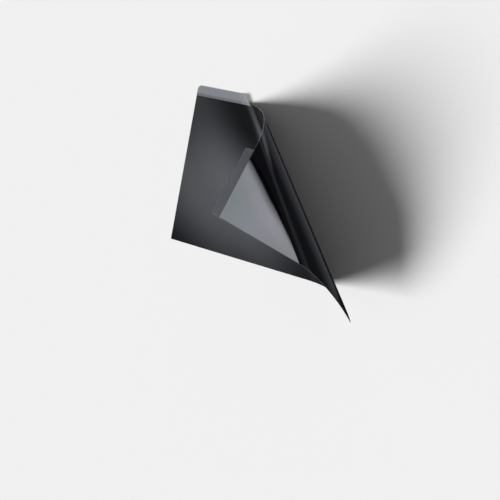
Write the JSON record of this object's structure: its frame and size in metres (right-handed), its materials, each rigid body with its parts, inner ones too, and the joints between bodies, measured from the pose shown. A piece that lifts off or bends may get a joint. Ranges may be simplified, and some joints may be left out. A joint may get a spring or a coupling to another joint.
{
  "type": "laptop privacy filter",
  "caption": "Thin dark screen film that hides a laptop display from the side, lying flat with a corner peeled up in a curl, and clear attachment strips along its top edge.",
  "frame": {"origin": "on the film's back face, a quarter of its width in from the left edge and at half its height", "axes": "+X along the film's width to the right, +Y up to its top edge with the strips, +Z out of its front face"},
  "size_m": [0.329, 0.2289, 0.1891],
  "materials": {
    "film": "satin front, glossy black back",
    "clear_strip": "clear, slightly frosted"
  },
  "bodies": {
    "root": {"privacy_film": "film", "left_attachment_strip": "clear_strip", "right_attachment_strip": "clear_strip"}
  },
  "joints": []
}
